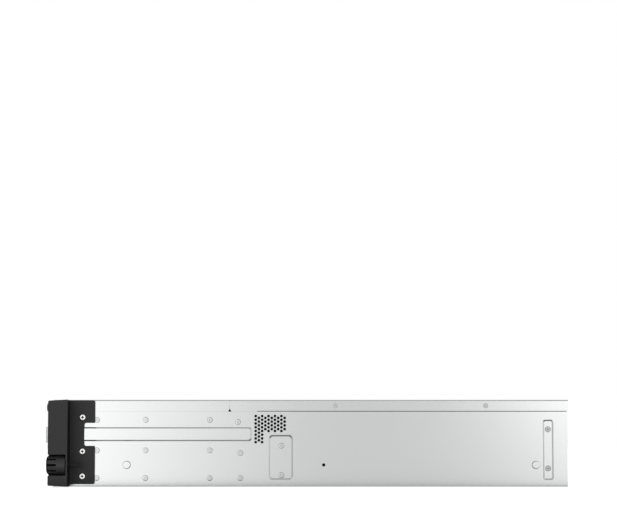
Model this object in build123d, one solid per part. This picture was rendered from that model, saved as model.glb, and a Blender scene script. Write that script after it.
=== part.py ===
from build123d import *
import math
import os

# A two-unit storage server for a 19 inch rack: a folded steel tub with a fixed front
# cover and a screwed rear lid, twelve drive trays in front, fans across the middle,
# the main board behind them and two plug-in power supplies at the rear.
# Millimetres. +X is the server's left to right seen from the front, +Y runs from the
# front to the rear and +Z up. Y = 0 is the plane where the rack ears meet the posts,
# X = 0 the middle of the width and Z = 0 the underside.

# Rack standard
rack_unit = 44.45
units_high = 2
stack_gap = 0.9
rack_face_width = 482.6
rack_hole_inset = 8.75
rack_hole_height = 22.2

# Chassis sheet metal
ear_reach = 25.3
chassis_depth = 503.5
sheet = 1.0
cut_spare = 1.0
bend_radius = 1.5
front_overhang = 17.0
flange_drop = 12.0
cover_fit = 0.1
pad_margin = 0.1
lid_overlap = 7.2
lid_gap = 0.4
lid_rear_lip = 0.9
wide_seam_start = 189.0
wide_seam = 0.6
seam_notch_width = 3.2
seam_notch_height = 2.6

# Pressings in the side walls
press_wall = 0.8
duct_height = 14.1
duct_centre = 53.2
duct_vent_gap = 3.8
duct_rise = 1.2
duct_corner = 1.8
middle_pad_lead = 1.5
middle_pad_width = 24.5
middle_pad_low = 7.2
middle_pad_height = 45.3
middle_pad_corner = 2.4
rear_pad_inset = 25.0
rear_pad_width = 10.7
rear_pad_low = 7.0
rear_pad_height = 60.9
rear_pad_corner = 1.4

# Side vents, a honeycomb in an L shape
vent_pitch = 3.76
vent_hole = 2.7
vent_lead = 13.2
vent_top = 71.5
vent_columns = 10
vent_long_columns = 3
vent_short_rows = 5
vent_long_rows = 8

# Rail mounting on the side walls
stud_radius = 3.95
stud_reach = 2.6
stud_height = 22.2
front_stud = 57.2
rear_stud_inset = 32.2
rail_hole = 256.6
rail_hole_radius = 1.65

# Rack ears
ear_depth = 20.0
ear_height = 87.2
ear_base = 0.6
ear_front_draft = 1.1
ear_wall = 2.0
ear_side_gap = 0.2
ear_flange_gap = 0.1
ear_lip = 1.1
ear_corner = 1.4
bracket_sheet = 2.0
bracket_low = 2.9
bracket_high = 87.5
bracket_reach = 25.1
bracket_corner = 2.0
bracket_notch_start = 14.3
bracket_notch_low = 41.4
bracket_notch_high = 64.6
bracket_notch_round = 1.2
bracket_duct_fit = 0.1
plate_width = 18.0
plate_height = 16.0
plate_proud = 2.0
plate_centre = 52.5
plate_edge = 0.7
plate_inset = 3.6
lamp_width = 5.0
lamp_height = 1.8
lamp_pitch = 4.2
lamp_count = 3
lamp_top = 72.5
lamp_depth = 3.0
lamp_fit = 0.05

# Captive rack screw
knob_radius = 10.1
knob_window = 20.8
knob_back_gap = 0.5
knob_dome = 1.8
knob_bevel = 2.4
knob_proud = 1.3
flute_count = 10
flute_depth = 1.7
flute_length = 10.0
screw_radius = 2.5
screw_reach = 12.0
neck_radius = 1.9
neck_fit = 0.2
neck_spare = 2.0

# Power button
button_radius = 4.5
button_fit = 0.2
button_height = 80.0
button_proud = 2.0
button_travel = 1.2
button_length = 10.0

# Drive bays, trays and drives
bay_columns = 4
bay_rows = 3
cage_sheet = 0.8
cage_tail = 11.4
drive_side_room = 1.95
drive_height = 26.1
drive_length = 147.0
drive_front = 10.0
drive_fit = 0.1
tray_side_gap = 0.4
tray_floor_gap = 0.3
tray_top_gap = 0.5
tray_face = -19.0
tray_bezel_depth = 11.0
tray_rail = 1.5
tray_rail_height = 14.0
tray_floor = 1.0
tray_floor_rim = 14.0
tray_tail = 2.0
slot_count = 3
slot_height = 4.6
slot_bar = 2.2
slot_side = 4.0
slot_top = 2.4
pocket_low = 3.6
pocket_height = 14.0
pocket_depth = 6.4
lever_gap = 0.35
lever_thick = 5.6
lever_hinge_inset = 7.0
lever_hinge_sides = 12
lever_end_inset = 4.0
lever_grip = 9.0
lever_grip_proud = 2.2

# Backplane
backplane_fit = 0.3
backplane_thick = 2.0
backplane_low = 3.0
backplane_top_gap = 3.0
air_slot_width = 84.0
air_slot_height = 7.0
air_slot_rise = 13.0
plug_width = 42.0
plug_height = 6.0
plug_fit = 0.3
plug_rise = 3.4

# Fans
fan_size = 80.0
fan_depth = 25.0
fan_bore = 38.0
fan_spacing = 138.0
fan_count = 3
fan_wall_gap = 34.0
fan_corner = 3.0
fan_wall_top_gap = 2.0
fan_foot = 26.0
hub_radius = 16.0
hub_depth = 17.0
hub_sides = 28
stator_depth = 3.0
strut_width = 5.0
fan_shaft_radius = 2.0
fan_shaft_fit = 0.05
blade_count = 7
blade_thick = 1.6
blade_chord = 22.0
blade_pitch = 38.0
blade_camber = 2.4
blade_root = 11.0
shaft_bore = 12.0
shaft_spare = 0.5
blade_tip_gap = 1.2
impeller_gap = 0.8

# Main board
board_left_gap = 10.3
board_right_gap = 5.8
board_front_gap = 21.6
board_rear_gap = 3.0
board_thick = 1.6
post_height = 6.0
post_size = 6.0
post_inset = 10.0
processor_size = 58.0
processor_height = 6.0
sink_aside = 60.0
sink_back = 100.0
sink_size = 90.0
sink_base = 8.0
sink_height = 58.0
fin_count = 16
fin_thick = 1.2
memory_aside = 20.0
memory_back = 100.0
memory_pitch = 9.5
memory_count = 4
memory_length = 133.3
memory_height = 31.0
memory_thick = 3.0
socket_width = 6.5
socket_height = 8.0
socket_fit = 0.1
socket_floor = 2.0
expansion_length = 89.0
expansion_width = 7.5
expansion_height = 11.0
expansion_start_gap = 12.0

# Rear panel and its connectors
panel_flange = 12.0
slot_right_gap = 18.8
slot_pitch = 20.32
slot_cover_count = 4
slot_cover_width = 18.4
slot_opening_width = 14.0
slot_cover_height = 76.0
slot_cover_low = 6.0
slot_cover_thick = 0.9
slot_cover_tab = 9.0
slot_end_margin = 5.0
port_fit = 0.25
port_margin = 4.0
port_plate_fit = 0.1
port_wall = 0.8
port_proud = 0.6
usb_width = 14.5
usb_height = 7.0
usb_depth = 18.0
usb_pitch = 22.0
usb_from_divider = 26.3
network_width = 16.0
network_height = 13.5
network_depth = 21.0
network_pitch = 20.0
network_from_divider = 68.3
fibre_width = 15.0
fibre_height = 11.0
fibre_depth = 46.0
fibre_pitch = 19.0
fibre_from_divider = 138.3
port_count = 2
rear_vent_pitch = 8.2
rear_vent_width = 5.2
rear_vent_height = 44.0
rear_vent_from_divider = 16.3
rear_vent_low = 34.0
rear_vent_slot_gap = 14.0

# Power supplies
supply_width = 73.5
supply_height = 39.5
supply_length = 184.0
supply_side_gap = 0.5
supply_floor_gap = 0.3
supply_proud = 1.0
supply_shelf_gap = 1.4
supply_wall = 1.0
supply_edge = 0.8
supply_cage_top = 84.0
supply_board_thick = 2.0
supply_board_gap = 7.0
supply_board_fit = 0.3
supply_socket_width = 50.0
supply_socket_height = 9.0
supply_tongue_width = 46.0
supply_tongue_height = 2.0
supply_tongue_length = 4.0
supply_tongue_fit = 0.3
inlet_width = 27.0
inlet_height = 19.0
inlet_depth = 18.0
inlet_corner = 5.0
inlet_offset = -19.0
handle_width = 9.0
handle_height = 32.0
handle_reach = 24.0
handle_bar = 4.0
handle_corner = 5.0
handle_offset = 7.0
grille_offset = 17.0
grille_width = 8.0
grille_slot = 3.0
grille_pitch = 6.0
grille_count = 5
grille_depth = 4.0
latch_width = 5.0
latch_height = 16.0
latch_reach = 14.0
latch_lip = 3.0
latch_lip_depth = 2.5
latch_travel = 3.0
latch_depth = 8.0
latch_gap = 0.3
latch_offset = 29.0

# Places worked out from the sizes above
chassis_height = rack_unit * units_high - stack_gap
ear_outside = rack_face_width / 2
screw_axis = ear_outside - rack_hole_inset
half_width = ear_outside - ear_reach
wall_inside = half_width - sheet
joggle = sheet + cover_fit
pad_depth = joggle + pad_margin
frame_half = wall_inside - pad_depth
seam_height = chassis_height - flange_drop
ceiling = chassis_height - sheet
tub_front = -front_overhang
bay_width = (2 * frame_half - (bay_columns - 1) * cage_sheet) / bay_columns
bay_height = (ceiling - sheet - (bay_rows - 1) * cage_sheet) / bay_rows
tray_width = bay_width - 2 * tray_side_gap
drive_width = tray_width - 2 * drive_side_room
tray_height = bay_height - tray_floor_gap - tray_top_gap
tray_end = drive_front + drive_length + tray_tail
drive_end = drive_front + drive_length
lever_axis_y = tray_face + lever_thick / 2
cage_back = drive_end + cage_tail
lid_start = cage_back - lid_overlap
backplane_start = cage_back + backplane_fit
fan_wall_start = cage_back + fan_wall_gap
middle_pad_start = fan_wall_start - middle_pad_lead
vent_start = middle_pad_start - vent_lead
duct_end = vent_start - duct_vent_gap
rear_pad_start = chassis_depth - rear_pad_inset
rear_stud = chassis_depth - rear_stud_inset
fan_start = fan_wall_start + sheet
fan_middle = 2 * sheet + fan_size / 2
stator_start = fan_start + fan_depth - stator_depth
hub_end = stator_start - impeller_gap
panel_front = chassis_depth - sheet
board_low = sheet + post_height
board_top = board_low + board_thick
sink_low = board_top + processor_height
board_rear = panel_front - board_rear_gap
supply_left = -frame_half + sheet + supply_side_gap
supply_centre = supply_left + supply_width / 2
supply_divider = supply_left + supply_width + supply_side_gap
supply_shelf = sheet + supply_floor_gap + supply_height + supply_shelf_gap
supply_rear = chassis_depth + supply_proud
supply_front = supply_rear - supply_length
power_board_start = supply_front - supply_board_gap - supply_board_thick
supply_levels = (sheet + supply_floor_gap, supply_shelf + supply_wall + supply_floor_gap)
board_left = supply_divider + board_left_gap
board_right = frame_half - board_right_gap
board_middle = (board_left + board_right) / 2
board_front = fan_start + fan_depth + board_front_gap
sink_x = board_middle - sink_aside
sink_y = board_front + sink_back
memory_x = board_middle + memory_aside
memory_y = board_front + memory_back
usb_x = supply_divider + usb_from_divider
network_x = supply_divider + network_from_divider
fibre_x = supply_divider + fibre_from_divider
slot_right = frame_half - slot_right_gap
slot_left = slot_right - (slot_cover_count - 1) * slot_pitch - slot_opening_width / 2
rear_vent_left = supply_divider + rear_vent_from_divider
rear_vent_columns = 1 + int((slot_left - rear_vent_slot_gap - rear_vent_left) / rear_vent_pitch)


def block(x, y, z):
    """A box between three pairs of (low, high) coordinates."""
    centre = ((x[0] + x[1]) / 2, (y[0] + y[1]) / 2, (z[0] + z[1]) / 2)
    return Pos(*centre) * Box(x[1] - x[0], y[1] - y[0], z[1] - z[0])


def deep(sketch, y_low, y_high):
    """A sketch drawn in X and Z, made solid between two depths."""
    return extrude(Plane.XZ.offset(-y_high) * sketch, y_high - y_low)


def sideways(sketch, x_low, x_high):
    """A sketch drawn in Y and Z, made solid between two widths."""
    return extrude(Plane.YZ.offset(x_low) * sketch, x_high - x_low)


def pressing(width, height, corner, y_low, z_low, depth, face):
    """A pad with cut corners on the plane X = face: outward for a positive depth, inward below 0."""
    outline = chamfer(Rectangle(width, height).vertices(), corner)
    return extrude(Plane.YZ.offset(face) * Pos(y_low + width / 2, z_low + height / 2) * outline, depth)


def hollow_side(width, height, y_low, z_low, depth, face):
    """A pressing's other side: smaller by the wall left round it, its corners square."""
    wall = press_wall
    middle = Pos(y_low + width / 2, z_low + height / 2)
    return extrude(Plane.YZ.offset(face) * middle * Rectangle(width - 2 * wall, height - 2 * wall), depth)


def both_sides(solid):
    """The solid and its mirror image in the middle plane."""
    return solid + mirror(solid, about=Plane.YZ)


def sheet_profile(points, radii):
    """A bent sheet's section, its thickness laid on the right of the path through the points."""
    path = FilletPolyline(*points, radius=radii)
    return make_face(offset(path, amount=sheet, side=Side.RIGHT, closed=True).wires()[0])


def vent_field():
    """Honeycomb holes through the right wall: three long columns, then short ones."""
    rise = vent_pitch
    run = vent_pitch * math.sqrt(3) / 2
    hole = RegularPolygon(vent_hole / 2, 6, major_radius=False)
    places = []
    for column in range(vent_columns):
        staggered = column % 2
        rows = vent_long_rows if column < vent_long_columns else vent_short_rows
        for row in range(rows - staggered):
            places.append((vent_start + column * run, vent_top - (row + staggered / 2) * rise))
    holes = Sketch() + [Pos(*place) * hole for place in places]
    return sideways(holes, half_width - 2 * sheet, half_width + sheet)


def board_posts():
    """Six-sided posts that stand on the floor and carry the main board."""
    post = extrude(Plane.XY.offset(sheet) * RegularPolygon(post_size / 2, 6, major_radius=False), post_height)
    middle = (board_front + board_rear) / 2
    depths = (board_front + post_inset, middle, board_rear - post_inset)
    return Part() + [Pos(x, y, 0) * post for x in (board_left + post_inset, board_right - post_inset) for y in depths]


def chassis_tub():
    """Floor and side walls, bent from one sheet, with ducts, pads, vents and rail holes."""
    top = ceiling - (bend_radius - sheet) - cover_fit
    step_low = seam_height - joggle
    upper = half_width - joggle
    points = [
        (-upper, top),
        (-upper, seam_height),
        (-half_width, step_low),
        (-half_width, 0),
        (half_width, 0),
        (half_width, step_low),
        (upper, seam_height),
        (upper, top),
    ]
    step = sheet * 1.05
    radii = [step, step, bend_radius, bend_radius, step, step]
    profile = sheet_profile(list(reversed(points)), radii)
    tub = deep(profile, tub_front, chassis_depth)
    duct_low = duct_centre - duct_height / 2
    duct_length = duct_end - cover_fit
    tub += both_sides(pressing(duct_length, duct_height, duct_corner, cover_fit, duct_low, duct_rise, half_width))
    tub -= both_sides(hollow_side(duct_length, duct_height, cover_fit, duct_low, duct_rise, wall_inside))
    pads = (
        (middle_pad_width, middle_pad_height, middle_pad_corner, middle_pad_start, middle_pad_low),
        (rear_pad_width, rear_pad_height, rear_pad_corner, rear_pad_start, rear_pad_low),
    )
    for width, height, corner, y_low, z_low in pads:
        around = press_wall
        back = Pos(y_low + width / 2, z_low + height / 2) * Rectangle(width + 2 * around, height + 2 * around)
        tub += both_sides(extrude(Plane.YZ.offset(wall_inside) * back, -pad_depth))
        tub -= both_sides(pressing(width, height, corner, y_low, z_low, -pad_depth, half_width))
    tub -= vent_field()
    rail = Pos(rail_hole, stud_height) * Circle(rail_hole_radius)
    tub -= both_sides(sideways(rail, half_width - 2 * sheet, half_width + sheet))
    return tub


def cover(y_low, y_high):
    """A channel-shaped cover over the tub, its side flanges flush with the side walls."""
    points = [
        (half_width, seam_height + cover_fit),
        (half_width, chassis_height),
        (-half_width, chassis_height),
        (-half_width, seam_height + cover_fit),
    ]
    return deep(sheet_profile(list(reversed(points)), [bend_radius, bend_radius]), y_low, y_high)


def seam_notch(y_corner, direction):
    """Half of the small triangle left open where two cover flanges meet."""
    base = seam_height
    outline = Polyline(
        (y_corner, base),
        (y_corner + direction * seam_notch_width / 2, base),
        (y_corner, base + seam_notch_height),
        close=True,
    )
    return both_sides(sideways(make_face(outline), half_width - 2 * sheet, half_width + sheet))


def front_cover():
    """The fixed cover over the drive bays."""
    return cover(tub_front, lid_start) - seam_notch(lid_start, -1)


def rear_lid():
    """The removable lid, its flange cut back along the open seam."""
    start = lid_start + lid_gap
    end = chassis_depth + lid_rear_lip
    lid = cover(start, end) - seam_notch(start, 1)
    seam = Pos((wide_seam_start + end) / 2, seam_height + cover_fit) * Rectangle(end - wide_seam_start, 2 * wide_seam)
    lid -= both_sides(sideways(seam, half_width - 2 * sheet, half_width + sheet))
    return lid


def rail_studs():
    """Studs on the side walls that hook into the slide rails."""
    stud = extrude(Plane.YZ.offset(half_width) * Circle(stud_radius), stud_reach)
    studs = [Pos(0, y, stud_height) * stud for y in (front_stud, rear_stud)]
    return both_sides(Part() + studs)


def drive_cage():
    """Shelves and partitions that divide the front of the tub into the drive bays."""
    low, high = sheet, ceiling - cover_fit
    outer_top = seam_height - 2 * joggle
    sides = both_sides(block((frame_half, wall_inside), (tub_front, cage_back), (bend_radius, outer_top)))
    walls = [
        block((x, x + cage_sheet), (tub_front, cage_back), (low, high))
        for x in (-frame_half + n * (bay_width + cage_sheet) - cage_sheet for n in range(1, bay_columns))
    ]
    shelves = [
        block((-frame_half, frame_half), (tub_front, cage_back), (z, z + cage_sheet))
        for z in (sheet + n * (bay_height + cage_sheet) - cage_sheet for n in range(1, bay_rows))
    ]
    return sides + walls + shelves


def bay_corner(column, row):
    """X and Z of a bay's lower left corner, where its tray starts."""
    x = -frame_half + column * (bay_width + cage_sheet) + tray_side_gap
    z = sheet + row * (bay_height + cage_sheet) + tray_floor_gap
    return x, z


def lever_section(reach, thick):
    """A lever's outline from above: round at the hinge, square at the grip."""
    bar = Pos(reach / 2, 0) * Rectangle(reach, thick)
    return bar + RegularPolygon(thick / 2, lever_hinge_sides)


def tray_frame():
    """A drive carrier: a moulded bezel in front, and side rails on an open floor behind it."""
    back = tray_face + tray_bezel_depth
    bezel = block((0, tray_width), (tray_face, back), (0, tray_height))
    rail = block((0, tray_rail), (back, tray_end), (0, tray_rail_height))
    floor = block((0, tray_width), (back, tray_end), (0, tray_floor))
    window = block(
        (tray_floor_rim, tray_width - tray_floor_rim),
        (back + tray_floor_rim / 2, tray_end - tray_floor_rim),
        (-tray_floor, 2 * tray_floor),
    )
    frame = bezel + floor + rail + Pos(tray_width - tray_rail, 0, 0) * rail - window
    pocket = block(
        (lever_hinge_inset - lever_thick / 2 - lever_gap, tray_width - lever_end_inset + lever_gap),
        (tray_face - cut_spare, tray_face + pocket_depth),
        (pocket_low, pocket_low + pocket_height),
    )
    frame -= pocket
    slot_space = tray_width - 2 * slot_side - (slot_count - 1) * slot_bar
    slot_width = slot_space / slot_count
    for n in range(slot_count):
        x = slot_side + n * (slot_width + slot_bar)
        z = tray_height - slot_top - slot_height
        frame -= block((x, x + slot_width), (tray_face - cut_spare, back + cut_spare), (z, z + slot_height))
    return frame


def drive():
    """A 3.5 inch hard drive lying on the carrier's floor."""
    start = (tray_width - drive_width) / 2
    low = tray_floor + drive_fit
    return block((start, start + drive_width), (drive_front, drive_end), (low, low + drive_height))


def tray_lever():
    """The latch lever across the bezel: a bar with a raised grip, round about its hinge."""
    axis = lever_hinge_inset
    reach = tray_width - lever_end_inset - axis
    low = pocket_low + lever_gap
    height = pocket_height - 2 * lever_gap
    bar = extrude(Plane.XY.offset(low) * lever_section(reach, lever_thick), height)
    grip_start = reach - lever_grip
    grip = make_face(Polyline(
        (grip_start, -lever_thick / 2),
        (reach, -lever_thick / 2),
        (reach, -lever_thick / 2 - lever_grip_proud),
        close=True,
    ))
    bar += extrude(Plane.XY.offset(low) * grip, height)
    return Pos(axis, lever_axis_y, 0) * bar


def ear_housing():
    """The right ear's moulded cover, drawn in towards its front, open round the rack knob, with a lip over the flange's end."""
    inner = half_width + ear_side_gap
    back = 0
    high = ear_base + ear_height
    narrow = ear_outside - ear_front_draft / 2
    side = FilletPolyline(
        (back, ear_base),
        (-ear_depth, ear_base + ear_front_draft),
        (-ear_depth, high - ear_front_draft),
        (back, high),
        radius=[ear_corner, ear_corner],
    )
    shell = sideways(make_face(side + Line((back, high), (back, ear_base))), inner, ear_outside)
    draft = make_face(Polyline(
        (ear_outside, back),
        (narrow, -ear_depth + ear_corner),
        (narrow - ear_corner, -ear_depth),
        (narrow, -2 * ear_depth),
        (2 * ear_outside, -2 * ear_depth),
        (2 * ear_outside, back),
        close=True,
    ))
    shell -= extrude(draft, 2 * ear_height)
    window = Pos(screw_axis, rack_hole_height) * Circle(knob_window / 2)
    window += Pos(screw_axis + knob_window / 2, rack_hole_height) * Rectangle(knob_window, knob_window)
    shell -= deep(window, -2 * ear_depth, -bracket_sheet)
    shell -= block(
        (half_width, ear_outside - ear_lip + ear_flange_gap),
        (-bracket_sheet, cut_spare),
        (bracket_low - ear_flange_gap, high + cut_spare),
    )
    cavity_low = rack_hole_height + knob_window / 2 + ear_wall
    shell -= block(
        (inner + ear_wall, narrow - ear_wall),
        (-ear_depth + ear_wall, 0),
        (cavity_low, high - ear_front_draft - ear_wall),
    )
    return shell


def lamp_places():
    """Centres of the status lamps, in X and Z."""
    return [(screw_axis - plate_inset, lamp_top - n * lamp_pitch) for n in range(lamp_count)]


def right_ear():
    """The right ear: the housing with its button bore and lamp slots."""
    button = Pos(screw_axis - plate_inset, button_height) * Circle(button_radius + button_fit)
    ear = ear_housing() - deep(button, -2 * ear_depth, 0)
    slot = Rectangle(lamp_width + 2 * lamp_fit, lamp_height + 2 * lamp_fit)
    slots = Sketch() + [Pos(*place) * slot for place in lamp_places()]
    return ear - deep(slots, -2 * ear_depth, -ear_depth + ear_wall + cut_spare)


def status_lamps():
    """Light guides set flush in the right ear's front."""
    lamp = Rectangle(lamp_width, lamp_height)
    lamps = Sketch() + [Pos(*place) * lamp for place in lamp_places()]
    return deep(lamps, -ear_depth, -ear_depth + lamp_depth)


def ear_plate():
    """A plain trim plate on an ear's front, its front edges bevelled."""
    outline = Pos(screw_axis - plate_inset, plate_centre) * Rectangle(plate_width, plate_height)
    plate = deep(outline, -ear_depth - plate_proud, -ear_depth)
    return chamfer(plate.faces().sort_by(Axis.Y)[0].edges(), plate_edge)


def rack_bracket():
    """The right ear's steel angle: a flange in front of the rack post, a leg on the side wall."""
    outer = half_width + bracket_sheet
    flange_end = ear_outside - ear_lip
    path = FilletPolyline(
        (flange_end, -bracket_sheet),
        (half_width, -bracket_sheet),
        (half_width, bracket_reach),
        radius=bracket_sheet * 1.2,
    )
    profile = make_face(offset(path, amount=bracket_sheet, side=Side.RIGHT, closed=True).wires()[0])
    bracket = extrude(Plane.XY.offset(bracket_low) * profile, bracket_high - bracket_low)
    leg_corners = bracket.edges().filter_by(Axis.X).group_by(Axis.Y)[-1]
    bracket = fillet(leg_corners, bracket_corner)
    notch = Pos((bracket_notch_start + bracket_reach + bracket_corner) / 2, (bracket_notch_low + bracket_notch_high) / 2)
    notch *= RectangleRounded(
        bracket_reach + bracket_corner - bracket_notch_start,
        bracket_notch_high - bracket_notch_low,
        bracket_corner * 0.95,
    )
    bracket -= sideways(notch, half_width - cut_spare, outer + cut_spare)
    ends = bracket.edges().filter_by(Axis.X).group_by(Axis.Y)[-1].sort_by(Axis.Z)
    bracket = fillet(ends[len(ends) // 2 - 1:len(ends) // 2 + 1], bracket_notch_round)
    relief_height = duct_height + 2 * bracket_duct_fit
    relief = block(
        (half_width - cut_spare, half_width + duct_rise + bracket_duct_fit),
        (0, bracket_reach),
        (duct_centre - relief_height / 2, duct_centre + relief_height / 2),
    )
    hole = Pos(screw_axis, rack_hole_height) * Circle(neck_radius + neck_fit)
    return bracket - relief - deep(hole, -2 * bracket_sheet, bracket_sheet)


def knob_outline(fluted):
    """The knob's outline: a circle of short flats, with or without its flutes."""
    step = 360 / flute_count
    points = []
    for n in range(flute_count):
        for share in (0.2, 0.4, 0.6, 0.8):
            angle = math.radians((n + share) * step)
            points.append((knob_radius * math.cos(angle), knob_radius * math.sin(angle)))
        angle = math.radians((n + 1) * step)
        reach = knob_radius - (flute_depth if fluted else 0)
        points.append((reach * math.cos(angle), reach * math.sin(angle)))
    return make_face(Polyline(*points, close=True))


def rack_knob():
    """A captive rack screw: a fluted knob on a shank whose neck runs in the bracket."""
    back = -bracket_sheet - knob_back_gap
    tip = -ear_depth - knob_proud
    knob = deep(knob_outline(False), tip + flute_length, back)
    knob += deep(knob_outline(True), tip, tip + flute_length)
    bevel = make_face(Polyline(
        (knob_radius - knob_bevel, tip),
        (knob_radius + knob_dome, tip),
        (knob_radius, tip + knob_dome),
        close=True,
    ))
    bevel = extrude(Plane.XY.offset(-knob_radius) * bevel, 2 * knob_radius)
    for n in range(flute_count):
        knob -= Rot(0, (n + 0.5) * 360 / flute_count, 0) * bevel
    knob += deep(Circle(neck_radius), back, neck_spare)
    knob += deep(Circle(screw_radius), neck_spare, screw_reach)
    return Pos(screw_axis, 0, rack_hole_height) * knob


def power_button():
    """A push button in the right ear, with its stem running back into the housing."""
    tip = -ear_depth - button_proud
    button = deep(Circle(button_radius), tip, tip + button_length)
    return Pos(screw_axis - plate_inset, 0, button_height) * button


def backplane():
    """The drive backplane, with a plug that meets each drive and an air slot above each plug."""
    board = block(
        (-frame_half + backplane_fit, frame_half - backplane_fit),
        (backplane_start, backplane_start + backplane_thick),
        (backplane_low, ceiling - backplane_top_gap),
    )
    for column in range(bay_columns):
        for row in range(bay_rows):
            x, z = bay_corner(column, row)
            middle = x + tray_width / 2
            board += block(
                (middle - plug_width / 2, middle + plug_width / 2),
                (drive_end + plug_fit, backplane_start),
                (z + plug_rise, z + plug_rise + plug_height),
            )
            board -= block(
                (middle - air_slot_width / 2, middle + air_slot_width / 2),
                (backplane_start - cut_spare, backplane_start + backplane_thick + cut_spare),
                (z + air_slot_rise, z + air_slot_rise + air_slot_height),
            )
    return board


def fan_places():
    """X of each fan's axis."""
    return [(n - (fan_count - 1) / 2) * fan_spacing for n in range(fan_count)]


def fan_wall():
    """The bent sheet that carries the fans, its side flanges seated on the pressed pads."""
    top = ceiling - fan_wall_top_gap
    bores = Sketch() + [Pos(x, fan_middle) * Rectangle(2 * fan_bore, 2 * fan_bore) for x in fan_places()]
    face = Pos(0, (sheet + top) / 2) * Rectangle(2 * frame_half, top - sheet) - bores
    wall = deep(face, fan_wall_start, fan_start)
    wall += block((-frame_half, frame_half), (fan_start, fan_wall_start + fan_foot), (sheet, 2 * sheet))
    pad_end = middle_pad_start + middle_pad_width
    pad_top = middle_pad_low + middle_pad_height
    return wall + both_sides(block((frame_half - sheet, frame_half), (fan_start, pad_end), (2 * sheet, pad_top)))


def fan_frame():
    """A fan's square frame with its bore, and the stator and shaft held on four struts."""
    square = chamfer(Rectangle(fan_size, fan_size).vertices(), fan_corner)
    frame = deep(Pos(0, fan_middle) * (square - Circle(fan_bore)), fan_start, fan_start + fan_depth)
    strut = Rectangle(2 * fan_bore + strut_width, strut_width)
    struts = Pos(0, fan_middle) * (Rot(0, 0, 45) * strut + Rot(0, 0, -45) * strut + RegularPolygon(hub_radius, hub_sides))
    frame += deep(struts, stator_start, stator_start + stator_depth)
    shaft = Pos(0, fan_middle) * Circle(fan_shaft_radius)
    return frame + deep(shaft, hub_end - shaft_bore + shaft_spare, stator_start)


def impeller():
    """A fan's impeller: a bored hub with curved blades set at an angle, clear of the bore."""
    hub = extrude(Plane.XZ.offset(-hub_end) * RegularPolygon(hub_radius, hub_sides), hub_depth)
    run = blade_chord / 2 * math.sin(math.radians(blade_pitch))
    rise = blade_chord / 2 * math.cos(math.radians(blade_pitch))
    middle = hub_end - hub_depth / 2
    bow_run = blade_camber * math.cos(math.radians(blade_pitch))
    bow_rise = blade_camber * math.sin(math.radians(blade_pitch))
    third_run, third_rise = run / 3, rise / 3
    curve = Polyline(
        (middle - run, -rise),
        (middle - third_run + bow_run, -third_rise - bow_rise),
        (middle + third_run + bow_run, third_rise - bow_rise),
        (middle + run, rise),
    )
    section = make_face(offset(curve, amount=blade_thick, side=Side.RIGHT, kind=Kind.INTERSECTION, closed=True).wires()[0])
    tip = math.sqrt((fan_bore - blade_tip_gap) ** 2 - (rise + blade_thick) ** 2)
    blade = extrude(Plane.YZ.offset(blade_root) * section, tip - blade_root)
    for n in range(blade_count):
        hub += Rot(0, n * 360 / blade_count, 0) * blade
    bore = extrude(Plane.XZ.offset(-hub_end) * Circle(fan_shaft_radius + fan_shaft_fit), shaft_bore)
    return Pos(0, 0, fan_middle) * (hub - bore)


def main_board():
    """The main board with its processor, memory sockets and expansion sockets."""
    board = block((board_left, board_right), (board_front, board_rear), (board_low, board_top))
    half = processor_size / 2
    board += block((sink_x - half, sink_x + half), (sink_y - half, sink_y + half), (board_top, sink_low))
    socket_end = memory_length / 2 + socket_width
    for n in range(memory_count):
        x = memory_x + n * memory_pitch
        side = socket_width / 2
        board += block((x - side, x + side), (memory_y - socket_end, memory_y + socket_end), (board_top, board_top + socket_height))
        groove = memory_thick / 2 + socket_fit
        length = memory_length / 2 + socket_fit
        floor = board_top + socket_floor
        board -= block((x - groove, x + groove), (memory_y - length, memory_y + length), (floor, board_top + 2 * socket_height))
    end = panel_front - slot_cover_thick - expansion_start_gap
    for x in slot_places():
        side = expansion_width / 2
        board += block((x - side, x + side), (end - expansion_length, end), (board_top, board_top + expansion_height))
    return board


def heatsink():
    """The processor's heatsink: a base with upright fins along the air stream."""
    half = sink_size / 2
    sink = block((sink_x - half, sink_x + half), (sink_y - half, sink_y + half), (sink_low, sink_low + sink_base))
    step = (sink_size - fin_thick) / (fin_count - 1)
    for n in range(fin_count):
        x = sink_x - half + n * step
        sink += block((x, x + fin_thick), (sink_y - half, sink_y + half), (sink_low, sink_low + sink_height))
    return sink


def memory_modules():
    """Memory modules upright in their sockets."""
    low = board_top + socket_floor
    half = memory_thick / 2
    module = block((-half, half), (memory_y - memory_length / 2, memory_y + memory_length / 2), (low, low + memory_height))
    return Part() + [Pos(memory_x + n * memory_pitch, 0, 0) * module for n in range(memory_count)]


def slot_places():
    """X of each expansion slot, from the right side inward."""
    return [slot_right - n * slot_pitch for n in range(slot_cover_count)]


def port_places(start, pitch):
    """X of each connector in a row."""
    return [start + n * pitch for n in range(port_count)]


def port_shells(start, pitch, width, height, depth):
    """A row of connector shells standing on the board, open towards the rear."""
    rear = chassis_depth + port_proud
    half = width / 2
    low = board_top
    shell = block((-half, half), (rear - depth, rear), (low, low + height))
    shell -= block(
        (-half + port_wall, half - port_wall),
        (rear - depth + port_wall, rear + cut_spare),
        (low + port_wall, low + height - port_wall),
    )
    return Part() + [Pos(x, 0, 0) * shell for x in port_places(start, pitch)]


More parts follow.
